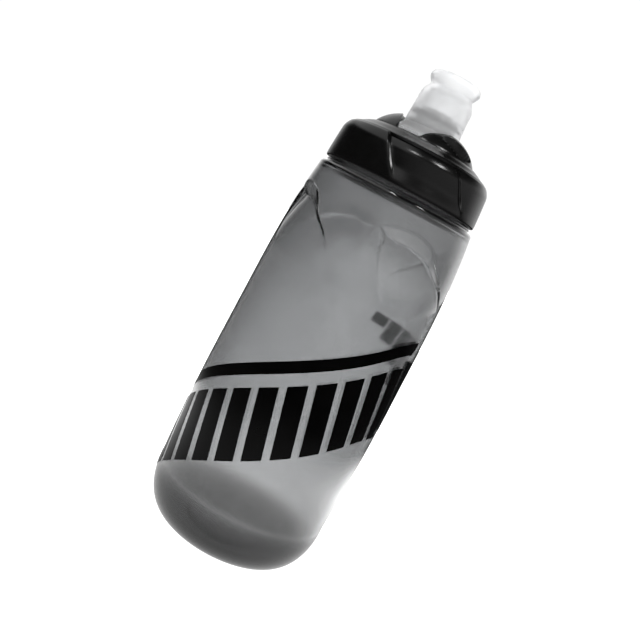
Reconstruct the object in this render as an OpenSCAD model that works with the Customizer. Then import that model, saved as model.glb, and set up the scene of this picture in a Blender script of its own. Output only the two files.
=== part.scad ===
// Sports squeeze bottle with a screw cap, a twist-to-lock dial and a self-sealing mouthpiece.
// Origin: centre of the standing ring. +Z runs up the bottle. -Y is the front.
// Millimetres. Angles are measured from +X, anticlockwise seen from above.

/* [Bottle] */
// Radius of the belly, which a bottle cage grips
belly_r = 36.9; // [36:0.1:38]
// Height where the straight belly starts
belly_low = 45; // [40:1:60]
// Height where the straight belly ends
belly_high = 95; // [80:1:100]
// Height of the shoulder's top edge
shoulder_z = 154; // [152:0.1:154]
// Wall of the blow-moulded body
wall = 1.2; // [1:0.1:1.6]
// How far the rounded heel reaches in from the side
heel_in = 15.8; // [12:0.1:18]
// How far the rounded heel reaches up the side
heel_up = 22.3; // [16:0.1:26]
// Rise of the floor inside the standing ring
punt = 1.4; // [0.5:0.1:3]

/* [Grip dents] */
// Number of grip dents round the upper body
dent_count = 4; // [3:1:4]
// Height of the dents' middle
dent_z = 131; // [126:1:134]
// Depth of each dent
dent_depth = 2.8; // [1.5:0.1:3.2]
// Lean of each dent, falling to the right
dent_lean = 24; // [0:1:30]
// Angle of the first dent's middle
dent_angle = -62; // [-90:1:0]

/* [Neck and thread] */
// Outside radius of the neck between the threads
neck_r = 27.4; // [27:0.1:27.6]
// Bore radius of the neck
neck_bore_r = 25.6; // [25:0.1:25.8]
// Height of the neck's rim
neck_top = 165.6; // [165:0.1:165.8]
// Rise of the screw thread in one turn
lead = 4; // [3.6:0.1:4.4]
// Depth of both threads
thread_depth = 1.4; // [1.2:0.1:1.4]

/* [Cap] */
// Outside radius of the cap's skirt
cap_r = 31.8; // [31.6:0.1:32.4]
// Height of the cap's lower edge
cap_low = 155.9; // [155.6:0.1:156.2]
// Height of the seat that the dial turns on
deck_z = 174.4; // [174:0.1:175]
// Depth of the two finger panels
panel_depth = 0.9; // [0.5:0.1:1]

/* [Dial and spout] */
// Radius of the locking dial
dial_r = 21.3; // [20:0.1:21.4]
// Height of the dial's two wings
wing_z = 182.7; // [181:0.1:183]
// Outside radius of the spout stem
stem_r = 8.6; // [8.5:0.05:8.6]
// Overall height of the bottle with its mouthpiece
total_h = 203.2; // [202:0.1:205]

/* [Hidden] */
$fn = 96;
running_gap = 0.1;
foot_r = belly_r - 0.7 - heel_in;
floor_t = 1.8;
// The side has drawn in this much at the dents' height.
side_in_at_dents = 1.9;
dent_rod_r = 40;
dent_rod_len = 64;
gasket_t = 1.3;
land_z = neck_top + gasket_t + 0.1;
crest_gap = 0.4;
cap_bore_r = neck_r + thread_depth + crest_gap;
thread_base = 2.2;
thread_crest = 1.0;
thread_low = neck_top - 7.1;
// The cap's ridge runs half a lead under the neck's. It starts here, clear of the skirt's lower edge.
cap_thread_start = 135;
cap_thread_low = thread_low - lead / 2 + lead * cap_thread_start / 360;
socket_r = 9.6;
socket_wall = 1.6;
socket_low = 161;
deck_under = deck_z - 1.8;
seat_t = 1.9;
seal_t = 0.9;
shutter_low = socket_low + seat_t + seal_t + running_gap;
ring_z = 168.7;
ring_wire = 0.65;
window_deg = 80;
window_start = [50, 230];
panel_start = [-113, 67];
panel_deg = 62;
wing_start = [-97, 83];
wing_deg = 107;
hub_r = 11.4;
pocket_r = hub_r + 1.2;
dome_r = 16.5;
dome_mid_r = dial_r - 14.3;
dome_mid_z = wing_z - 15.7;
scoop_r = 7.6;
scoop_from_start = 52;
floor_z = 177.8;
bead_z = 186.4;
membrane_z = 195.6;

// Points on an elliptical arc in the radius-height plane.
function arc(r, z, a, b, from, to, steps = 10) =
    [for (i = [0:steps]) let (t = from + (to - from) * i / steps) [r + a * cos(t), z + b * sin(t)]];

// Side of the body from the top of the heel to the shoulder, moved inwards by inset.
function side(inset) = [
    [belly_r - inset, belly_low],
    [belly_r - inset, belly_high],
    [belly_r - 0.9 - inset, 114],
    [belly_r - 1.5 - inset, 125],
    [belly_r - 3.0 - inset, 139],
    [belly_r - 4.2 - inset, 148]
];

// A ring sector between two angles, from a radius-height outline.
module sector(start, sweep, outline) {
    rotate([0, 0, start]) rotate_extrude(angle = sweep) polygon(outline);
}

// One screw ridge: root_r is inside the wall that it grows from, and crest_r is its edge.
module screw_ridge(root_r, crest_r, low, turns) {
    per_turn = 32;
    n = round(turns * per_turn);
    fade = 4;
    function crest(i) = root_r + (crest_r - root_r) * min(1, (min(i, n - i) + 0.4) / fade);
    ring = [for (i = [0:n]) let (t = 360 * i / per_turn, z = low + lead * i / per_turn, c = crest(i))
        for (p = [[root_r, -thread_base / 2], [c, -thread_crest / 2], [c, thread_crest / 2],
                  [root_r, thread_base / 2]])
            [p[0] * cos(t), p[0] * sin(t), z + p[1]]];
    sides = [for (i = [0:n - 1]) for (j = [0:3]) for (half = [0, 1])
        let (a = 4 * i + j, b = 4 * i + (j + 1) % 4)
            half == 0 ? [a, a + 4, b + 4] : [a, b + 4, b]];
    caps = [[0, 1, 2, 3], [4 * n + 3, 4 * n + 2, 4 * n + 1, 4 * n]];
    outward = crest_r > root_r;
    faces = concat(sides, caps);
    polyhedron(ring, outward ? [for (f = faces) [for (k = [len(f) - 1:-1:0]) f[k]]] : faces);
}

// The rods that press the grip dents into the body. A larger radius gives the inner face.
module dent_rods(radius) {
    reach = belly_r - side_in_at_dents - dent_depth + dent_rod_r;
    for (i = [0:dent_count - 1])
        rotate([0, 0, dent_angle + 360 * i / dent_count])
            translate([reach, 0, dent_z])
                rotate([90 + dent_lean, 0, 0])
                    cylinder(r = radius, h = dent_rod_len, center = true, $fn = 180);
}

module body_outside() {
    rotate_extrude() polygon(concat(
        [[0, punt], [foot_r - 6, punt], [foot_r - 4, 0]],
        arc(foot_r, heel_up, heel_in, heel_up, -90, 0, 12),
        side(0),
        [[32.3, shoulder_z - 1.6]],
        arc(30.7, shoulder_z - 1.6, 1.6, 1.6, 0, 90, 4),
        [[30.4, shoulder_z], [30.4, shoulder_z + 1.5], [neck_r, shoulder_z + 2.2],
         [neck_r, neck_top - 0.5], [neck_r - 0.5, neck_top], [0, neck_top]]));
}

module body_inside() {
    rotate_extrude() polygon(concat(
        [[0, punt + floor_t], [foot_r - 5, punt + floor_t], [foot_r - 3, floor_t]],
        arc(foot_r, heel_up, heel_in - wall, heel_up - floor_t, -90, 0, 12),
        side(wall),
        [[31.1, shoulder_z - 2.4]],
        arc(29.9, shoulder_z - 2.4, 1.2, 1.2, 0, 90, 4),
        [[28.6, shoulder_z - 1.2], [neck_bore_r, shoulder_z + 1.4],
         [neck_bore_r, neck_top + 1], [0, neck_top + 1]]));
}

// Blow-moulded squeeze body: a thin shell with a threaded neck, four grip dents and a punt.
module bottle_body() {
    color([0.36, 0.37, 0.38, 0.6]) {
        difference() {
            difference() {
                body_outside();
                dent_rods(dent_rod_r);
            }
            difference() {
                body_inside();
                dent_rods(dent_rod_r + wall);
            }
        }
        screw_ridge(neck_r - 0.4, neck_r + thread_depth, thread_low, 1.25);
    }
}

// Flat sealing ring between the neck's rim and the land inside the cap.
module cap_gasket() {
    color([0.2, 0.2, 0.21])
        difference() {
            translate([0, 0, neck_top]) cylinder(r = cap_bore_r - 0.3, h = gasket_t);
            translate([0, 0, neck_top - 1]) cylinder(r = neck_bore_r + 0.4, h = gasket_t + 2);
        }
}

module cap_outside() {
    rotate_extrude() polygon(concat(
        [[0, cap_low], [cap_r - 0.8, cap_low]],
        arc(cap_r - 0.8, cap_low + 0.8, 0.8, 0.8, -90, 0, 3),
        [[cap_r, cap_low + 2], [cap_r - 0.4, 162.3], [cap_r - 0.8, 166.6]],
        arc(cap_r - 5.6, 167.6, 4.8, 5.6, 0, 62, 8),
        [[dial_r + 0.4, deck_z + 0.9], [dial_r + 0.4, deck_z], [0, deck_z]]));
}

module cap_inside() {
    rotate_extrude() polygon([
        [0, cap_low - 1], [cap_bore_r + 1, cap_low - 1], [cap_bore_r + 1, cap_low],
        [cap_bore_r, cap_low + 1], [cap_bore_r, land_z], [25.2, land_z], [23.6, 170.4],
        [20, deck_under], [0, deck_under]]);
}

// Screw cap: threaded skirt, two finger panels, a deck and the socket that the stem turns in.
module cap_shell() {
    color([0.05, 0.05, 0.055]) {
        difference() {
            cap_outside();
            cap_inside();
            for (start = panel_start)
                sector(start, panel_deg, [
                    [cap_r - panel_depth, 158.6], [cap_r + 2, 158.6], [cap_r + 2, 180],
                    [27.6, 180], [27.6, 171.9], [cap_r - 1.8 - panel_depth, 169.2],
                    [cap_r - 0.8 - panel_depth, 166.6]]);
            translate([0, 0, deck_under - 1]) cylinder(r = stem_r + running_gap, h = 4);
        }
        difference() {
            translate([0, 0, socket_low])
                cylinder(r = socket_r + socket_wall, h = deck_under - socket_low + 0.5);
            translate([0, 0, socket_low - 1]) cylinder(r = socket_r, h = deck_under - socket_low + 1);
            translate([0, 0, deck_under - 1]) cylinder(r = stem_r + running_gap, h = 4);
        }
        rotate([0, 0, cap_thread_start])
            screw_ridge(cap_bore_r + 0.4, neck_r + crest_gap, cap_thread_low, 1.0);
    }
}

// The two flow windows that line up when the dial is open.
module windows(low, height) {
    for (start = window_start)
        sector(start, window_deg, [[2.6, low], [6.3, low], [6.3, low + height], [2.6, low + height]]);
}

// Fixed disc with the flow windows, pressed into the foot of the socket.
module port_seat() {
    color([0.12, 0.12, 0.13])
        difference() {
            translate([0, 0, socket_low]) cylinder(r = socket_r, h = seat_t);
            windows(socket_low - 1, seat_t + 2);
        }
}

// Soft disc on the seat, which the turning shutter wipes.
module port_seal() {
    color([0.75, 0.76, 0.77])
        difference() {
            translate([0, 0, socket_low + seat_t]) cylinder(r = socket_r - 0.1, h = seal_t);
            windows(socket_low, 6);
        }
}

module dial_profile() {
    rim_z = deck_z + 1;
    rim_angle = asin((rim_z - dome_mid_z) / dome_r);
    rotate_extrude() polygon(concat(
        [[0, deck_z + running_gap], [dial_r, deck_z + running_gap], [dial_r, rim_z - 0.1]],
        arc(dome_mid_r, dome_mid_z, dome_r, dome_r, rim_angle, 72, 8),
        [[0, wing_z]]));
}

// Locking dial: a domed ring with two raised wings, which fixes the stem from above.
module lock_dial() {
    color([0.05, 0.05, 0.055])
        difference() {
            dial_profile();
            translate([0, 0, deck_z]) cylinder(r = stem_r + 0.05, h = 20);
            translate([0, 0, floor_z]) cylinder(r = pocket_r, h = 20);
            for (start = wing_start)
                sector(start + wing_deg, 180 - wing_deg, [
                    [hub_r, floor_z], [dial_r + 1, floor_z - 2.2],
                    [dial_r + 1, total_h], [hub_r, total_h]]);
            for (start = wing_start)
                rotate([0, 0, start + scoop_from_start])
                    translate([dial_r + 1.3, 0, wing_z + 0.3]) sphere(r = scoop_r);
        }
}

// Rigid spout: flow tube, snap bead for the mouthpiece, ring groove and shutter disc.
module spout_core() {
    tip_z = bead_z + 2.2;
    flange_r = socket_r - running_gap;
    groove_r = 8.2;
    groove_half = ring_wire + 0.3;
    color([0.75, 0.77, 0.79, 0.8])
        difference() {
            rotate_extrude() polygon([
                [0, shutter_low], [flange_r, shutter_low],
                [flange_r, ring_z - groove_half], [groove_r, ring_z - groove_half],
                [groove_r, ring_z + groove_half], [flange_r, ring_z + groove_half],
                [flange_r, deck_under - 0.1], [stem_r, deck_under - 0.1],
                [stem_r, bead_z - 1.2], [stem_r + 0.8, bead_z - 0.6],
                [stem_r + 0.8, bead_z + 0.4],
                [stem_r, bead_z + 1.2], [stem_r - 0.6, tip_z], [0, tip_z]]);
            translate([0, 0, shutter_low + 1.6]) cylinder(r = 6.5, h = 40);
            windows(shutter_low - 1, 4);
        }
}

// Round sealing ring in the stem's groove.
module dial_o_ring() {
    ring_r = socket_r - ring_wire - 0.07;
    color([0.08, 0.08, 0.08])
        rotate_extrude() translate([ring_r, ring_z]) circle(r = ring_wire, $fn = 24);
}

// Silicone mouthpiece: bite lip, slit membrane, sleeve over the stem and two petals in the dial.
module mouthpiece() {
    slit = 0.25;
    color([0.93, 0.94, 0.95, 0.75])
        difference() {
            union() {
                rotate_extrude() polygon(concat(
                    [[0, floor_z + 0.1], [11.3, floor_z + 0.1], [11.0, 184], [10.8, 192.2]],
                    arc(9.0, 194.4, 1.75, 2.4, 0, 70, 5),
                    [[8.9, 197.6], [9.0, 198.6]],
                    arc(8.2, 200.7, 2.2, 2.5, -50, 90, 9),
                    [[0, total_h]]));
                for (start = wing_start)
                    sector(start + wing_deg + 1.5, 177 - wing_deg, [
                        [10.6, floor_z + 0.25], [11.9, floor_z + 0.05], [11.9, 179.2], [11.2, 182.5],
                        [10.6, 182.5]]);
            }
            rotate_extrude() polygon([
                [0, 170], [stem_r + 0.05, 170], [stem_r + 0.05, bead_z - 1.3],
                [stem_r + 0.85, bead_z - 0.65], [stem_r + 0.85, bead_z + 0.45], [stem_r + 0.05, bead_z + 1.3],
                [stem_r - 0.4, 189.2], [7.4, 192.4], [6.4, membrane_z], [0, membrane_z + 0.6]]);
            rotate_extrude() polygon([
                [0, membrane_z + 1.8], [5.4, membrane_z + 1.3], [6.2, 199.5], [7.4, total_h + 0.5],
                [0, total_h + 0.5]]);
            for (turn = [0, 90])
                rotate([0, 0, turn]) cube([9, slit, 2 * total_h], center = true);
        }
}

bottle_body();
cap_gasket();
cap_shell();
port_seat();
port_seal();
lock_dial();
spout_core();
dial_o_ring();
mouthpiece();
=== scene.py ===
import math

import bpy
import numpy as np
from mathutils import Matrix, Vector


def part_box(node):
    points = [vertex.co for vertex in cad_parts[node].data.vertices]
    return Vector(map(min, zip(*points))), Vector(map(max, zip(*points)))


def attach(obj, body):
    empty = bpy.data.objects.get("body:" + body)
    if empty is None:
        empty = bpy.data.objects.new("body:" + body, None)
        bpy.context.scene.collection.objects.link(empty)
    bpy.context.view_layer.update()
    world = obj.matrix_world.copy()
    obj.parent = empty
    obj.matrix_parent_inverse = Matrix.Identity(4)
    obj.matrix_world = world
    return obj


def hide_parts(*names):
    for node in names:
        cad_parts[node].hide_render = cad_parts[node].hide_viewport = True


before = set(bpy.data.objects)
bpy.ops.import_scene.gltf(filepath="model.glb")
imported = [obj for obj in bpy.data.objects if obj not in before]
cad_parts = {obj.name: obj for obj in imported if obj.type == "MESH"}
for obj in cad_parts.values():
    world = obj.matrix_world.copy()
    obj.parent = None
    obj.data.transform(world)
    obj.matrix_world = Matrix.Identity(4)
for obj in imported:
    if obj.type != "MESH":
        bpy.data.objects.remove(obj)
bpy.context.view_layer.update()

# Sizes are in millimetres here, and meshes are made in metres. Azimuths are in degrees: 0 is the front
# (-Y), 90 is +X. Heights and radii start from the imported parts, so they follow the CAD model.
MM = 0.001


def low(node):
    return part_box(node)[0] / MM


def high(node):
    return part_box(node)[1] / MM


# ---------------------------------------------------------------- driving dimensions
belly_r = high("bottle_body").x
neck_top = high("bottle_body").z
cap_low = low("cap_shell").z
cap_r = high("cap_shell").x
cap_top = high("cap_shell").z
dial_low = low("lock_dial").z
dial_r = high("lock_dial").x
dial_top = high("lock_dial").z
valve_low = low("mouthpiece").z
valve_top = high("mouthpiece").z

wall = 1.8
floor_t = 2.6
punt = 1.4
heel_in = 15.8
heel_up = 22.3
heel_power = 2.3
foot_r = belly_r - 0.7 - heel_in
shoulder_z = cap_low - 1.9
neck_r = 27.4
neck_bore_r = 25.6

lead = 4.0
thread_depth = 1.4
thread_low = neck_top - 7.1
cap_bore_r = neck_r + thread_depth + 0.4
cap_thread_start = 135
cap_thread_low = thread_low - lead / 2 + lead * cap_thread_start / 360

deck_z = dial_low - 0.1
deck_under = deck_z - 1.8
stem_hole_r = 8.7
socket_r = 9.6
socket_low = 161.0
land_z = neck_top + 1.4

floor_z = valve_low - 0.1
hub_r = 12.4
sleeve_r = 11.1


# ---------------------------------------------------------------- curves and meshes
def smooth(x, start=0.0, end=1.0):
    """0 before start, 1 after end, with a smooth step between them."""
    t = np.clip((np.asarray(x, float) - start) / (end - start), 0, 1)
    return t * t * (3 - 2 * t)


def arc(r, z, a, b, start, end, steps):
    """Points on an elliptical arc in the radius-height plane."""
    t = np.radians(np.linspace(start, end, steps + 1))
    return [(r + a * math.cos(x), z + b * math.sin(x)) for x in t]


def spline(points, steps):
    """A smooth curve through the points, with that many pieces between neighbours."""
    p = np.array([points[0], *points, points[-1]], float)
    made = [p[1]]
    for i in range(1, len(p) - 2):
        for t in np.linspace(0, 1, steps + 1)[1:]:
            a = 2 * p[i] + (p[i + 1] - p[i - 1]) * t
            b = (2 * p[i - 1] - 5 * p[i] + 4 * p[i + 1] - p[i + 2]) * t * t
            c = (3 * p[i] - p[i - 1] - 3 * p[i + 1] + p[i + 2]) * t ** 3
            made.append((a + b + c) / 2)
    return [tuple(q) for q in made]


def place(r, azimuth, z):
    """Points from radius, azimuth and height, as an array ending in x, y, z."""
    a = np.radians(azimuth)
    r, a, z = np.broadcast_arrays(r, a, z)
    return np.stack([r * np.sin(a), -r * np.cos(a), z], -1)


def build(name, points, faces, finish):
    """A smooth mesh object in metres, with sharp edges where faces meet at more than 30 degrees."""
    mesh = bpy.data.meshes.new(name)
    mesh.from_pydata((np.asarray(points) * MM).tolist(), [], faces)
    mesh.validate()
    mesh.shade_smooth()
    mesh.set_sharp_from_angle(angle=math.radians(30))
    mesh.materials.append(finish)
    piece = bpy.data.objects.new(name, mesh)
    bpy.context.scene.collection.objects.link(piece)
    return piece


def ring_faces(rows, cols, loop):
    """Quads over a grid whose columns wrap round, and whose rows wrap too if loop is true."""
    index = np.arange(rows * cols).reshape(rows, cols)
    a = index if loop else index[:-1]
    b = np.roll(index, -1, 0) if loop else index[1:]
    return np.stack([a, np.roll(a, -1, 1), np.roll(b, -1, 1), b], -1).reshape(-1, 4).tolist()


def closed_loop(name, grid, finish):
    """A ring-shaped solid: each column of the grid is a closed outline, outside up and inside down."""
    rows, cols = grid.shape[:2]
    return build(name, grid.reshape(-1, 3), ring_faces(rows, cols, True), finish)


def closed_cup(name, grid, finish):
    """A cup-shaped solid: the first row closes to a point under it, and the last to one inside it."""
    rows, cols = grid.shape[:2]
    points = grid.reshape(-1, 3).tolist()
    faces = ring_faces(rows, cols, False)
    for row, turn in ((0, 1), (rows - 1, -1)):
        centre = grid[row].mean(0)
        points.append(centre.tolist())
        for j in range(cols):
            edge = [row * cols + j, row * cols + (j + 1) % cols][::-turn]
            faces.append([len(points) - 1, *edge])
    return build(name, points, faces, finish)


def slab_mesh(top, under):
    """Points and faces of a thin closed solid between two grids of the same size."""
    rows, cols = top.shape[:2]
    points = np.concatenate([top.reshape(-1, 3), under.reshape(-1, 3)])
    index = np.arange(rows * cols).reshape(rows, cols)
    quads = np.stack([index[:-1, :-1], index[:-1, 1:], index[1:, 1:], index[1:, :-1]], -1).reshape(-1, 4)
    faces = quads.tolist() + (quads[:, ::-1] + rows * cols).tolist()
    rim = np.concatenate([index[0, :-1], index[:-1, -1], index[-1, :0:-1], index[:0:-1, 0]])
    for i, j in zip(rim, np.roll(rim, -1)):
        faces.append([int(j), int(i), int(i) + rows * cols, int(j) + rows * cols])
    return points, faces


# ---------------------------------------------------------------- materials
def remap(tree, value, starts, ends, smoothly=False):
    """Maps value from the range starts to the range ends, and returns the new node's output."""
    node = tree.nodes.new("ShaderNodeMapRange")
    if smoothly:
        node.interpolation_type = "SMOOTHSTEP"
    for socket, number in zip(("From Min", "From Max", "To Min", "To Max"), (*starts, *ends)):
        node.inputs[socket].default_value = number
    tree.links.new(value, node.inputs["Value"])
    return node.outputs["Result"]


def combine(tree, operation, a, b):
    """Joins two values with a maths operation, and returns the new node's output."""
    node = tree.nodes.new("ShaderNodeMath")
    node.operation = operation
    tree.links.new(a, node.inputs[0])
    tree.links.new(b, node.inputs[1])
    return node.outputs["Value"]


def finish_of(name, dark, light, rough, grain_mm, bump, **fixed):
    """A Principled material. Its colour drifts between dark and light, its roughness drifts round rough,
    and a fine grain of that size roughens the surface. fixed holds constants for the shader's sockets."""
    made = bpy.data.materials.new(name)
    made.use_nodes = True
    nodes, links = made.node_tree.nodes, made.node_tree.links
    shader = nodes["Principled BSDF"]
    for socket, value in fixed.items():
        shader.inputs[socket.replace("_", " ")].default_value = value
    where = nodes.new("ShaderNodeTexCoord")
    cloud = nodes.new("ShaderNodeTexNoise")
    cloud.inputs["Scale"].default_value = 1 / (14 * MM)
    cloud.inputs["Detail"].default_value = 3
    ramp = nodes.new("ShaderNodeValToRGB")
    ramp.color_ramp.elements[0].position = 0.3
    ramp.color_ramp.elements[0].color = (*dark, 1)
    ramp.color_ramp.elements[1].position = 0.7
    ramp.color_ramp.elements[1].color = (*light, 1)
    spread = remap(made.node_tree, cloud.outputs["Fac"], (0, 1), (rough * 0.8, rough * 1.2))
    grain = nodes.new("ShaderNodeTexNoise")
    grain.inputs["Scale"].default_value = 1 / (grain_mm * MM)
    grain.inputs["Detail"].default_value = 4
    relief = nodes.new("ShaderNodeBump")
    relief.inputs["Strength"].default_value = bump
    relief.inputs["Distance"].default_value = 0.05 * MM
    links.new(where.outputs["Object"], cloud.inputs["Vector"])
    links.new(where.outputs["Object"], grain.inputs["Vector"])
    links.new(cloud.outputs["Fac"], ramp.inputs["Fac"])
    links.new(ramp.outputs["Color"], shader.inputs["Base Color"])
    links.new(spread, shader.inputs["Roughness"])
    links.new(grain.outputs["Fac"], relief.inputs["Height"])
    links.new(relief.outputs["Normal"], shader.inputs["Normal"])
    return made


def multiply(made, factor):
    """Multiplies a material's colour by a factor from another node."""
    nodes, links = made.node_tree.nodes, made.node_tree.links
    colour = nodes["Principled BSDF"].inputs["Base Color"]
    mix = nodes.new("ShaderNodeMix")
    mix.data_type = "RGBA"
    mix.blend_type = "MULTIPLY"
    mix.inputs["Factor"].default_value = 1
    links.new(colour.links[0].from_socket, mix.inputs[6])
    links.new(factor, mix.inputs[7])
    links.new(mix.outputs[2], colour)


def shade_by_height(made, stops):
    """Paints shade into a material's colour: darkens it by height. The stops are pairs of a height and a
    share of the colour.
    """
    nodes, links = made.node_tree.nodes, made.node_tree.links
    where = nodes.new("ShaderNodeTexCoord")
    split = nodes.new("ShaderNodeSeparateXYZ")
    lowest, highest = stops[0][0], stops[-1][0]
    share = nodes.new("ShaderNodeValToRGB")
    share.color_ramp.interpolation = "EASE"
    while len(share.color_ramp.elements) < len(stops):
        share.color_ramp.elements.new(0.5)
    for element, (height, value) in zip(share.color_ramp.elements, stops):
        element.position = (height - lowest) / (highest - lowest)
        element.color = (value, value, value, 1)
    links.new(where.outputs["Object"], split.inputs["Vector"])
    along = remap(made.node_tree, split.outputs["Z"], (lowest * MM, highest * MM), (0, 1))
    links.new(along, share.inputs["Fac"])
    multiply(made, share.outputs["Color"])


def shade_at_edges(made, at_edge):
    """Darkens a clear material's colour where it is seen at a low angle, through more plastic."""
    facing = made.node_tree.nodes.new("ShaderNodeLayerWeight")
    facing.inputs["Blend"].default_value = 0.5
    multiply(made, remap(made.node_tree, facing.outputs["Facing"], (0, 1), (1, at_edge)))


def grey(value):
    return (value, value, value)


smoke = finish_of("smoke_plastic", (0.41, 0.415, 0.42), (0.445, 0.45, 0.455), 0.1, 0.6, 0.02,
                  Transmission_Weight=1.0, IOR=1.45, Coat_Weight=1.0, Coat_Roughness=0.06)
# The plastic is thicker at the foot and from the shoulder up, and its colour there is darker still with
# painted shade: shadow under the foot and the cap's shade over the neck.
shade_by_height(smoke, [(0, 0.22), (6, 0.34), (18, 1), (shoulder_z - 2, 1), (shoulder_z - 0.1, 0.9),
                        (shoulder_z + 0.5, 0.2), (neck_top, 0.2)])
shade_at_edges(smoke, 0.6)
ink = finish_of("print_ink", grey(0.0004), grey(0.0012), 0.25, 0.15, 0.1, IOR=1.4, Specular_IOR_Level=0.1)
black = finish_of("black_plastic", grey(0.001), grey(0.003), 0.21, 0.12, 0.2, IOR=1.5)
silicone = finish_of("clear_silicone", (0.87, 0.875, 0.88), (0.93, 0.935, 0.94), 0.3, 0.5, 0.08,
                     Transmission_Weight=0.8, IOR=1.26)
clear = finish_of("clear_plastic", grey(0.60), grey(0.72), 0.25, 0.4, 0.05,
                  Transmission_Weight=0.6, IOR=1.4)
# Painted shade: the stem's colour is darkened in a band at the snap bead near its tip, for the dark line of
# shadow inside the silicone.
bead_z = high("spout_core").z - 2.2
shade_by_height(clear, [(bead_z - 6, 0.7), (bead_z - 1.9, 1), (bead_z - 1.3, 0.02), (bead_z + 1.0, 0.02),
                        (bead_z + 1.5, 1), (bead_z + 3, 1)])
rubber = finish_of("seal_rubber", grey(0.02), grey(0.035), 0.6, 0.2, 0.3)


# ---------------------------------------------------------------- bottle body
SIDE = spline([(belly_r - 0.8, heel_up), (belly_r - 0.3, 36), (belly_r, 61), (belly_r - 0.5, 92),
               (belly_r - 1.05, 116.4), (belly_r - 2.0, 132.6), (belly_r - 3.35, 146),
               (belly_r - 4.3, shoulder_z - 1.6)], 12)
SIDE_R, SIDE_Z = np.array(SIDE).T


def side_r(z):
    """Outside radius of the body at a height, from the foot to the shoulder, without the dents."""
    z = np.asarray(z, float)
    drop = np.clip((heel_up - z) / heel_up, 0, 1)
    heel = foot_r + heel_in * np.clip(1 - drop ** heel_power, 0, 1) ** (1 / heel_power)
    return np.where(z < heel_up, heel, np.interp(z, SIDE_Z, SIDE_R))


# One grip dent, clockwise from its left tip: azimuth, distance under the cap's edge, and width of the wall.
DENT_OUTLINE = [(-2, 14.6, 5.6), (7.6, 12.4, 5.6), (22, 11.5, 5.6), (34.6, 13.2, 5.4), (42, 16.7, 4.4),
                (48, 21, 2.8), (62, 27.6, 1.4), (73, 37, 1.1), (70, 46, 3), (40, 47, 4), (28, 44, 3),
                (20, 38.6, 2.0), (13.5, 33.5, 1.8), (8, 28.2, 1.8), (4.8, 23.4, 1.8), (3.4, 19.6, 2.2),
                (1, 17, 3.5)]
DENT_PITCH = 90
DENT_FROM = -11
DENT_DEPTH = 2.8
DEG_ARC = math.radians(34.6)


def dent_depth(azimuth, z):
    """How far the four grip dents reach into the body at these azimuths and heights."""
    local = (azimuth - DENT_FROM) % DENT_PITCH + DENT_FROM
    here = np.stack([local * DEG_ARC, z - cap_low], -1)
    outline = np.array(spline([*DENT_OUTLINE, DENT_OUTLINE[0]], 4))[:-1] * (DEG_ARC, -1, 1)
    down = np.full(local.shape, 1e9)
    inside = np.zeros(local.shape, bool)
    for (*a, wall_a), (*b, wall_b) in zip(outline, np.roll(outline, -1, 0)):
        a, b = np.array(a), np.array(b)
        step = b - a
        t = np.clip(((here - a) @ step) / (step @ step), 0, 1)
        away = np.linalg.norm(here - a - t[..., None] * step, axis=-1)
        down = np.minimum(down, away / (wall_a + (wall_b - wall_a) * t))
        crosses = (a[1] > here[..., 1]) != (b[1] > here[..., 1])
        inside ^= crosses & (here[..., 0] < a[0] + (here[..., 1] - a[1]) * step[0] / (step[1] or 1e-9))
    sloped = DENT_DEPTH * np.where(inside, down, 0)
    fall = (z - (cap_low - 42.5)) / 24.5 - np.clip(local - 30, 0, 60) / 160 - np.clip(14 - local, 0, 14) / 45
    floor = DENT_DEPTH * np.clip(fall, 0, 1) ** 2.2
    blend = 0.22
    h = np.clip(0.5 + 0.5 * (floor - sloped) / blend, 0, 1)
    return np.clip(floor * (1 - h) + sloped * h - blend * h * (1 - h), 0, None)


def ridge(azimuth, z, low_z, from_deg, turns):
    """Share of the thread's height at these places. The ridge climbs anticlockwise, from_deg past +X."""
    base_half, crest_half, fade_deg = 1.1, 0.5, 45.0
    made = np.zeros(np.broadcast(azimuth, z).shape)
    for turn in range(-1, 3):
        along = azimuth - 90 - from_deg + 360 * turn
        centre = low_z + lead * along / 360
        flank = np.clip((base_half - np.abs(z - centre)) / (base_half - crest_half), 0, 1)
        ends = np.clip(np.minimum(along, 360 * turns - along) / fade_deg, 0, 1)
        made = np.maximum(made, flank * ends)
    return made


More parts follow.
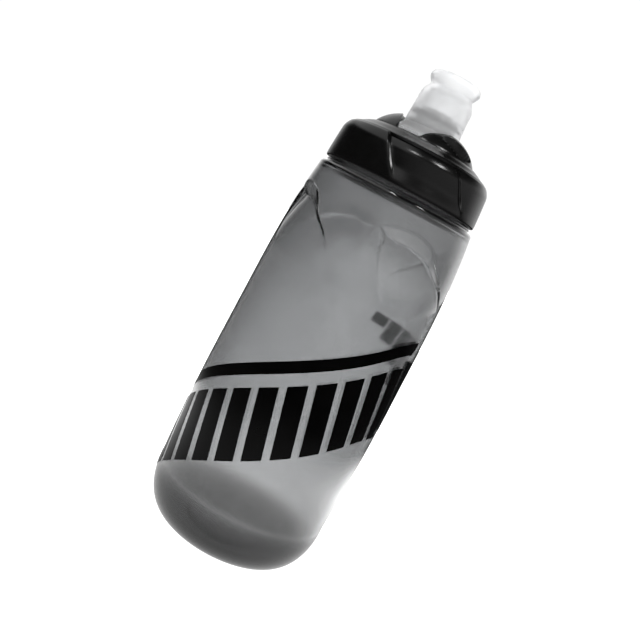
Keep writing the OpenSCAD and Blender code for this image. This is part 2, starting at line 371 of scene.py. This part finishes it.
def make_body():
    columns = 480
    azimuth = np.arange(columns) * 360 / columns
    heights = np.concatenate([np.linspace(heel_up, 100, 36), np.arange(100.5, shoulder_z - 2, 0.45)])
    neck_z = np.arange(shoulder_z + 2.6, neck_top - 0.4, 0.22)
    outer = [(4, punt), (foot_r - 6, punt), (foot_r - 5, punt - 0.3), (foot_r - 4, 0.2), (foot_r - 3.4, 0)]
    heel_z = heel_up * (1 - np.cos(np.radians(np.linspace(6, 88, 28))))
    outer += [(float(side_r(z)), z) for z in heel_z]
    outer += [(float(side_r(z)), z) for z in heights]
    outer += arc(belly_r - 5.7, shoulder_z - 1.4, 1.4, 1.4, 8, 90, 6)
    outer += [(30.5, shoulder_z), (30.3, shoulder_z + 0.1), (30.2, shoulder_z + 0.4)]
    outer += [(30.4, shoulder_z + 0.6)]
    outer += arc(30.4, shoulder_z + 1.0, 0.35, 0.4, -80, 80, 4)
    outer += [(30.0, shoulder_z + 1.5), (neck_r + 0.5, shoulder_z + 1.7), (neck_r, shoulder_z + 2.3)]
    outer += [(neck_r, z) for z in neck_z]
    outer += arc(neck_r - 0.4, neck_top - 0.4, 0.4, 0.4, 0, 90, 3)
    inner = arc(neck_bore_r + 0.3, neck_top - 0.3, 0.3, 0.3, 90, 180, 3)
    inner += [(neck_bore_r, shoulder_z + 1.6), (neck_bore_r + 0.6, shoulder_z + 0.4)]
    inner += arc(belly_r - 8.1, shoulder_z - 3.2, 2.1, 1.9, 85, 5, 6)
    inner += [(float(side_r(z)) - wall, z) for z in heights[::-1] if z < shoulder_z - 3.4]
    inner += [(float(side_r(z)) - wall, floor_t + z * (1 - floor_t / heel_up)) for z in heel_z[::-1]]
    inner += [(foot_r - 3, floor_t), (foot_r - 5, punt + floor_t), (4, punt + floor_t)]
    outline = np.array(outer + inner)
    r, z = outline[:, :1], outline[:, 1:]
    dents = dent_depth(*np.broadcast_arrays(azimuth, z)) * ((z > 90) & (z < shoulder_z - 2))
    on_outside = (np.arange(len(outline)) < len(outer))[:, None]
    on_thread = on_outside & (z > shoulder_z + 2.4) & (z < neck_top - 0.3)
    thread = thread_depth * ridge(azimuth, z, thread_low, 0, 1.25) * on_thread
    body = closed_cup("squeeze_body", place(r - dents + thread, azimuth, z), smoke)
    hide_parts("bottle_body")
    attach(body, "bottle")


# ---------------------------------------------------------------- print
INK_PROUD = 0.12
STRIPE_RISE = 0.385
STRIPE_TOP = 88.3
STRIPE_T = 5.2
BARS_UNDER = 10.7
BARS_TALL = 31.0


def band_z(azimuth):
    """Height of the stripe's top edge. It climbs evenly, then levels out on the right."""
    level, softness = 55, 6
    eased = azimuth - np.logaddexp(0, (azimuth - level) / softness) * softness
    return STRIPE_TOP + STRIPE_RISE * eased


def on_body(azimuth, z, lift):
    return place(side_r(z) - dent_depth(azimuth, z) + lift, azimuth, z)


def patch(azimuth, z):
    return slab_mesh(on_body(azimuth, z, INK_PROUD), on_body(azimuth, z, -0.03))


def make_stripe():
    along = np.linspace(-80, 66, 200)
    across = np.linspace(0, 1, 5)[:, None]
    azimuth = along + (across - 0.5) * 3
    z = band_z(azimuth) - STRIPE_T * (1 - across)
    stripe = build("print_stripe", *patch(azimuth, z), ink)
    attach(stripe, "bottle")


def make_bars():
    pitch, width, lean, bars = 14.2, 10.2, 0.33, 17
    points, faces = [], []
    for i in range(bars):
        middle = -80 + pitch * i
        tall = BARS_TALL * (1 - 0.9 * smooth(middle, 75, 160))
        wide = width + 2.6 * smooth(middle, 80, 110)
        across = np.linspace(-wide / 2, wide / 2, 14)
        up = np.linspace(0, 1, 24)[:, None]
        azimuth = middle + across - lean * (up - 0.5) * tall
        z = band_z(azimuth) - BARS_UNDER - tall * (1 - up) + 9.5 * smooth(middle, 60, 110)
        p, f = patch(azimuth, z)
        faces += [[v + len(points) for v in face] for face in f]
        points += p.tolist()
    bars_piece = build("print_bars", points, faces, ink)
    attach(bars_piece, "bottle")


# ---------------------------------------------------------------- cap
PANEL_STARTS = (-20, 160)
PANEL_WIDE = 58.5
PANEL_MID_Z = 165.0
PANEL_LEAN = 1.25
PANEL_DEPTH = 1.0
LEDGE_R = 28.2


def make_cap():
    # Columns follow the panels' leaning edges: a soft bevel on the left and a crisp step on the right.
    bevel, step = 4.2, 0.7
    share = np.concatenate([np.linspace(0, bevel, 9), np.linspace(bevel, PANEL_WIDE - step, 26)[1:],
                            np.linspace(PANEL_WIDE - step, PANEL_WIDE, 4)[1:],
                            np.linspace(PANEL_WIDE, 180, 52)[1:-1]])
    column = np.concatenate([start + share for start in PANEL_STARTS])
    local = np.tile(share, len(PANEL_STARTS))
    sunk = smooth(local, 0, bevel) * (1 - smooth(local, PANEL_WIDE - step, PANEL_WIDE))

    skirt = spline([(cap_r, cap_low + 1.9), (cap_r - 0.34, 162.3), (cap_r - 0.75, 166.8),
                    (cap_r - 1.15, 169.2), (cap_r - 2.4, 171.4), (LEDGE_R, 172.25)], 7)
    crown = spline([(LEDGE_R - 0.25, 172.5), (26.0, 173.4), (24.0, 174.5), (22.3, cap_top)], 5)
    outline = [(cap_r - 0.8, cap_low), *arc(cap_r - 0.6, cap_low + 0.6, 0.6, 0.6, -90, 0, 4)]
    outline += [(cap_r, cap_low + 1.2), *skirt]
    outside_rows = len(outline)
    outline += crown
    outline += [(dial_r + 0.5, cap_top - 0.1), (dial_r + 0.4, cap_top - 0.3), (dial_r + 0.4, deck_z + 0.1)]
    outline += [(dial_r + 0.2, deck_z), (stem_hole_r, deck_z), (stem_hole_r, deck_under)]
    outline += [(socket_r, deck_under), (socket_r, socket_low), (socket_r + 1.6, socket_low)]
    outline += [(socket_r + 1.6, deck_under - 0.4), (socket_r + 2, deck_under), (20, deck_under)]
    outline += [(23.6, 170.4), (25.2, land_z), (cap_bore_r, land_z)]
    bore_from = len(outline)
    outline += [(cap_bore_r, z) for z in np.arange(land_z - 0.4, cap_low + 1.1, -0.25)]
    bore_to = len(outline)
    outline += [(cap_bore_r + 1, cap_low)]
    outline = np.array(outline)
    r, z = outline[:, :1], outline[:, 1:]
    lean = -PANEL_LEAN * (np.clip(z, 158, 173) - PANEL_MID_Z)
    azimuth = column + lean
    row = np.arange(len(outline))[:, None]
    outside = row < outside_rows - 1
    in_panel = smooth(z, cap_low + 0.8, cap_low + 7.0) * (r > LEDGE_R - 0.1) * outside
    slope = np.gradient(outline, axis=0)
    normal = np.stack([slope[:, 1], -slope[:, 0]], -1) / np.linalg.norm(slope, axis=1)[:, None]
    cut = PANEL_DEPTH * in_panel * sunk
    radius = r - cut * np.clip(normal[:, :1], 0.5, 1)
    height = z - cut * np.clip(normal[:, 1:], 0, 0.85)
    on_bore = (row >= bore_from) & (row < bore_to)
    inner_thread = thread_depth * ridge(azimuth % 360, z, cap_thread_low, cap_thread_start, 1.0)
    radius = radius - inner_thread * on_bore
    cap = closed_loop("screw_cap", place(radius, azimuth, height), black)
    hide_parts("cap_shell")
    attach(cap, "cap")


# ---------------------------------------------------------------- dial
# Azimuths where a wing starts or ends: at the dial's rim, and at its hub.
RIM_EDGES = np.array([-11, 145, 169, 325], float)
HUB_EDGES = np.array([37, 97, 217, 277], float)
SCOOPS = (45, 225)


def edge_azimuth(r):
    """The wings' four edges at this radius. They sweep back along a curve from the rim to the hub."""
    t = np.clip((dial_r - r) / (dial_r - hub_r), 0, 1) ** (1.6, 2.24, 1.6, 2.24)
    return RIM_EDGES + (HUB_EDGES - RIM_EDGES) * t


def dome_z(r):
    return dial_top - 15.3 + np.sqrt(np.clip(16.5 ** 2 - (np.asarray(r) - (dial_r - 14.3)) ** 2, 0, None))


def trough_z(r):
    return floor_z - 0.25 * np.clip(np.asarray(r) - 12, 0, 10)


def sector_columns(r, shares):
    """Azimuths at radius r of the columns that divide each wing and each trough by the same shares."""
    edges = edge_azimuth(r)
    spans = np.diff([*edges, edges[0] + 360])
    return np.concatenate([a + s * shares for a, s in zip(edges, spans)])


def make_dial():
    near = np.array([0, 0.004, 0.010, 0.018, 0.028])
    shares = np.concatenate([near, np.linspace(0.05, 0.95, 27), 1 - near[:0:-1]])
    rise = smooth(shares, 0.0, 0.02) * (1 - smooth(shares, 0.98, 1.0))
    wing = np.concatenate([rise, 0 * rise, rise, 0 * rise])
    top_r = np.concatenate([[dial_r - 0.05, dial_r - 0.2], np.linspace(dial_r - 0.45, hub_r + 0.5, 40),
                            [hub_r + 0.25, hub_r + 0.08]])
    rows = [place(stem_hole_r, sector_columns(hub_r, shares), dial_low),
            place(dial_r - 0.3, sector_columns(dial_r, shares), dial_low),
            place(dial_r, sector_columns(dial_r, shares), dial_low + 0.3)]
    edge_drops = [0.30, 0.08, *[0] * (len(top_r) - 4), 0.06, 0.3]
    for i, r in enumerate(top_r):
        azimuth = sector_columns(r, shares)
        edge_drop = edge_drops[i]
        dish = np.zeros(len(azimuth))
        for middle in SCOOPS:
            aside = (azimuth - middle + 180) % 360 - 180
            along = aside * math.radians(18.4) / 8.6
            across = (r - 18.0 - 0.9 * along) / (2.7 - 1.2 * np.clip(along, 0, 1))
            inside = np.clip(1 - along ** 2 - across ** 2, 0, 1)
            dish = np.maximum(dish, 4.4 * inside ** 0.55)
        upper = np.maximum(dome_z(r) - dish, trough_z(r) - 0.1) - edge_drop
        z = trough_z(r) + (upper - trough_z(r)) * wing
        rows.append(place(r, azimuth, z))
    hub_z = floor_z - 0.05 + wing * (dome_z(hub_r) - floor_z - 0.9)
    rows.append(place(hub_r, sector_columns(hub_r, shares), hub_z))
    rows.append(place(hub_r, sector_columns(hub_r, shares), floor_z - 0.2))
    rows.append(place(stem_hole_r, sector_columns(hub_r, shares), floor_z - 0.1))
    dial = closed_loop("wing_dial", np.array(rows), black)
    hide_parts("lock_dial")
    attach(dial, "dial")


# ---------------------------------------------------------------- mouthpiece
def boolean(piece, other, operation):
    """Joins other to piece, or cuts it away, and removes it."""
    step = piece.modifiers.new(operation, "BOOLEAN")
    step.operation, step.solver, step.object = operation, "EXACT", other
    graph = bpy.context.evaluated_depsgraph_get()
    made = bpy.data.meshes.new_from_object(piece.evaluated_get(graph))
    piece.modifiers.clear()
    old, piece.data = piece.data, made
    bpy.data.meshes.remove(old)
    bpy.data.objects.remove(other)


def make_mouthpiece():
    columns = 128
    lip_z, membrane_z = valve_top - 2.6, valve_top - 7.6
    outline = spline([(sleeve_r + 0.5, floor_z + 0.1), (sleeve_r + 0.25, 180), (sleeve_r, 184.9),
                      (sleeve_r - 0.25, 189.4), (sleeve_r - 0.4, 193.6), (sleeve_r - 1.1, 195.8),
                      (8.95, 197.4), (8.85, 198.2), (9.5, 199.1), (10.35, lip_z - 0.2),
                      (10.3, lip_z + 1.2), (9.6, valve_top - 0.35), (8.6, valve_top)], 4)
    outline += spline([(7.6, valve_top - 0.25), (6.9, 201.5), (6.2, 199.3), (5.4, membrane_z + 1.3),
                       (3, membrane_z + 1.7), (0.4, membrane_z + 1.8)], 3)
    outline += spline([(0.4, membrane_z + 0.6), (3, membrane_z + 0.5), (6.4, membrane_z), (7.4, 192.4),
                       (8.2, 189.2)], 3)
    outline += [(8.65, bead_z + 1.3), (9.45, bead_z + 0.45), (9.45, bead_z - 0.65), (8.65, bead_z - 1.3),
                (8.65, floor_z + 0.1)]
    outline = np.array(outline)
    azimuth = np.arange(columns) * 360 / columns
    valve = closed_loop("bite_valve", place(outline[:, :1], azimuth, outline[:, 1:]), silicone)
    for k in (1, 3):
        radii = np.linspace(10.2, dial_r - 0.7, 18)
        across = np.linspace(0.0, 1.0, 28)
        top, under = [], []
        for r in radii:
            edges = edge_azimuth(r)
            gap = math.degrees(0.25 / r)
            start, end = edges[k] + gap, (edges[(k + 1) % 4] + 360) % 360 - gap
            end = end + 360 if end < start else end
            fillet = 3.2 * (1 - smooth(r, 10.2, 14.5)) ** 1.5
            side = 0.25 * np.sin(np.pi * across) ** 0.3
            top.append(place(r, start + (end - start) * across, trough_z(r) + 0.75 + fillet + side))
            under.append(place(r, start + (end - start) * across, trough_z(r) + 0.2))
        tongue = build("tongue", *slab_mesh(np.array(top)[::-1], np.array(under)[::-1]), silicone)
        boolean(valve, tongue, "UNION")
    for turn in (0, 90):
        half_l, half_w = 4.5, 0.12
        corners = [(-half_l, -half_w), (half_l, -half_w), (half_l, half_w), (-half_l, half_w)]
        along, side = (math.cos(math.radians(turn)), math.sin(math.radians(turn)))
        ring = [(x * along - y * side, x * side + y * along) for x, y in corners]
        points = [(x, y, z) for z in (membrane_z - 2, membrane_z + 4) for x, y in ring]
        faces = [[3, 2, 1, 0], [4, 5, 6, 7], *([i, (i + 1) % 4, (i + 1) % 4 + 4, i + 4] for i in range(4))]
        boolean(valve, build("slit", points, faces, silicone), "DIFFERENCE")
    valve.data.shade_smooth()
    valve.data.set_sharp_from_angle(angle=math.radians(35))
    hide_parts("mouthpiece")
    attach(valve, "dial")


# ---------------------------------------------------------------- CAD parts that stay
def paint_cad_parts():
    finishes = {"cap_gasket": rubber, "port_seat": black, "port_seal": silicone, "spout_core": clear,
                "dial_o_ring": rubber}
    for name, made in finishes.items():
        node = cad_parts[name]
        node.data.materials.clear()
        node.data.materials.append(made)


# ---------------------------------------------------------------- stage, light and camera
def make_floor():
    """A pale floor, white to the camera. Seen through the bottle it has a painted shadow, dark under the
    foot, and painted shade, dimmer on the left. Seen in reflections it has a painted glow, bright near the
    bottle and dark further off."""
    side = 4.0
    mesh = bpy.data.meshes.new("floor")
    corners = [(-side, -side, 0), (side, -side, 0), (side, side, 0), (-side, side, 0)]
    mesh.from_pydata(corners, [], [[0, 1, 2, 3]])
    floor = bpy.data.objects.new("floor", mesh)
    pale = bpy.data.materials.new("floor_pale")
    pale.use_nodes = True
    tree = pale.node_tree
    nodes, links = tree.nodes, tree.links
    shader = nodes["Principled BSDF"]
    shader.inputs["Roughness"].default_value = 0.9
    shader.inputs["Specular IOR Level"].default_value = 0
    shader.inputs["Emission Color"].default_value = (1, 1, 1, 1)
    where = nodes.new("ShaderNodeTexCoord")
    away = nodes.new("ShaderNodeVectorMath")
    away.operation = "LENGTH"
    path = nodes.new("ShaderNodeLightPath")
    links.new(where.outputs["Object"], away.inputs[0])

    def ring(near, far, at_near, at_far):
        """A value that changes with the distance in metres from the bottle's axis."""
        return remap(tree, away.outputs["Value"], (near, far), (at_near, at_far), smoothly=True)

    def choose(switch, otherwise, value):
        """value for rays of the kind that switch names, and otherwise for the rest."""
        mix = nodes.new("ShaderNodeMix")
        links.new(path.outputs[switch], mix.inputs["Factor"])
        for socket, given in ((mix.inputs["A"], otherwise), (mix.inputs["B"], value)):
            if isinstance(given, float):
                socket.default_value = given
            else:
                links.new(given, socket)
        return mix.outputs["Result"]

    split = nodes.new("ShaderNodeSeparateXYZ")
    links.new(where.outputs["Object"], split.inputs["Vector"])
    # Painted shade: the floor's glow and colour are dimmer on the left.
    left = remap(tree, split.outputs["X"], (-0.3, 0.0), (0.6, 1.0), smoothly=True)

    # A ray that passes through rough plastic counts as both glossy and transmitted.
    # Painted shadow: seen through the bottle, the floor's glow drops to nothing under the foot.
    painted_shadowed_glow = combine(tree, "MULTIPLY", ring(0.045, 0.08, 0.0, 0.8), left)
    # Painted reflection: in glossy rays the floor glows brightly near the bottle and fades further off.
    painted_reflection_glow = combine(tree, "MULTIPLY", ring(0.05, 0.15, 0.6, 1.7), ring(0.13, 0.26, 1.0, 0.0))
    painted_floor_glow = choose("Is Transmission Ray", choose("Is Glossy Ray", painted_shadowed_glow, painted_reflection_glow), painted_shadowed_glow)
    links.new(choose("Is Camera Ray", painted_floor_glow, 1.3), shader.inputs["Emission Strength"])
    # Painted shadow: the floor's colour is dark under the foot.
    pale_with_painted_shadow = combine(tree, "MULTIPLY", ring(0.045, 0.08, 0.1, 0.9), left)
    tone = choose("Is Transmission Ray", choose("Is Glossy Ray", pale_with_painted_shadow, 0.02), pale_with_painted_shadow)
    links.new(tone, shader.inputs["Base Color"])
    mesh.materials.append(pale)
    bpy.context.scene.collection.objects.link(floor)


def make_world():
    """White all round, as a light tent is, but dimmer on the left where it is seen through the bottle. What
    glossy surfaces reflect is bright behind and low down, dimmer on the right, and dark elsewhere."""
    open_tent = 1.05
    world = bpy.data.worlds.new("light_tent")
    bpy.context.scene.world = world
    world.use_nodes = True
    tree = world.node_tree
    nodes, links = tree.nodes, tree.links
    tent = nodes["Background"]
    tent.inputs["Color"].default_value = (1, 1, 1, 1)
    seen = nodes.new("ShaderNodeBackground")
    where = nodes.new("ShaderNodeTexCoord")
    split = nodes.new("ShaderNodeSeparateXYZ")
    links.new(where.outputs["Generated"], split.inputs["Vector"])

    def step(axis, start, end, to):
        """0 on start's side of the direction's axis, and to on end's side."""
        return remap(tree, split.outputs[axis], (start, end), (0, to), smoothly=True)

    def join(operation, a, b):
        return combine(tree, operation, a, b)

    right = join("MULTIPLY", step("X", -0.6, 0.6, 0.45), step("Z", 0.04, 0.22, 1.0))
    right = join("MULTIPLY", right, step("Z", 0.7, 0.35, 1.0))
    back = join("MULTIPLY", step("Y", 0.15, 0.8, 0.9), step("X", -0.75, -0.3, 1.0))
    low_back = join("MULTIPLY", back, step("Z", 0.6, 0.3, 1.0))
    above = join("MULTIPLY", step("X", 0.05, -0.25, 0.9), step("Z", 0.35, 0.5, 1.0))
    around = join("ADD", join("ADD", low_back, right), above)
    links.new(around, seen.inputs["Strength"])
    through = remap(tree, split.outputs["X"], (-0.45, 0.0), (0.55, open_tent), smoothly=True)
    path = nodes.new("ShaderNodeLightPath")
    dimmed = nodes.new("ShaderNodeMix")
    dimmed.inputs["A"].default_value = open_tent
    links.new(path.outputs["Is Transmission Ray"], dimmed.inputs["Factor"])
    links.new(through, dimmed.inputs["B"])
    links.new(dimmed.outputs["Result"], tent.inputs["Strength"])
    mix = nodes.new("ShaderNodeMixShader")
    reflected = join("SUBTRACT", path.outputs["Is Glossy Ray"], path.outputs["Is Transmission Ray"])
    links.new(reflected, mix.inputs["Fac"])
    links.new(tent.outputs["Background"], mix.inputs[1])
    links.new(seen.outputs["Background"], mix.inputs[2])
    links.new(mix.outputs["Shader"], nodes["World Output"].inputs["Surface"])


def softbox(name, place_at, aim, size, power):
    lamp = bpy.data.lights.new(name, "AREA")
    lamp.shape = "RECTANGLE"
    lamp.size, lamp.size_y = size
    lamp.energy = power
    box = bpy.data.objects.new(name, lamp)
    box.location = place_at
    box.rotation_euler = (Vector(aim) - Vector(place_at)).to_track_quat("-Z", "Y").to_euler()
    box.visible_camera = False
    box.visible_transmission = False
    bpy.context.scene.collection.objects.link(box)


def make_camera():
    """The photo's view: from a little above the belly's middle, with the bottle's top leaning right."""
    distance, height, aside = 0.3214, 0.1415, -0.00405
    pitch, roll = math.radians(7.81), math.radians(27.78)
    focal_px, frame_px = 817.3, 640
    forward = Vector((0, math.cos(pitch), -math.sin(pitch)))
    up = Vector((0, math.sin(pitch), math.cos(pitch)))
    right = Vector((1, 0, 0))
    camera_x = math.cos(roll) * right + math.sin(roll) * up
    camera_y = -math.sin(roll) * right + math.cos(roll) * up
    data = bpy.data.cameras.new("camera")
    data.sensor_width = 36
    data.lens = data.sensor_width * focal_px / frame_px
    data.clip_start, data.clip_end = 0.01, 20
    camera = bpy.data.objects.new("camera", data)
    turn = Matrix((camera_x, camera_y, -forward)).transposed().to_4x4()
    camera.matrix_world = Matrix.Translation((aside, -distance, height)) @ turn
    bpy.context.scene.collection.objects.link(camera)
    bpy.context.scene.camera = camera
    bpy.context.scene.view_settings.view_transform = "Standard"


make_camera()
make_body()
make_stripe()
make_bars()
make_cap()
make_dial()
make_mouthpiece()
paint_cad_parts()
make_floor()
make_world()
middle = (0, 0, 0.13)
softbox("right_key", (0.32, -0.32, 0.72), middle, (0.10, 0.10), 1.0)
softbox("left_key", (-0.07, -0.44, 0.72), middle, (0.08, 0.06), 0.5)
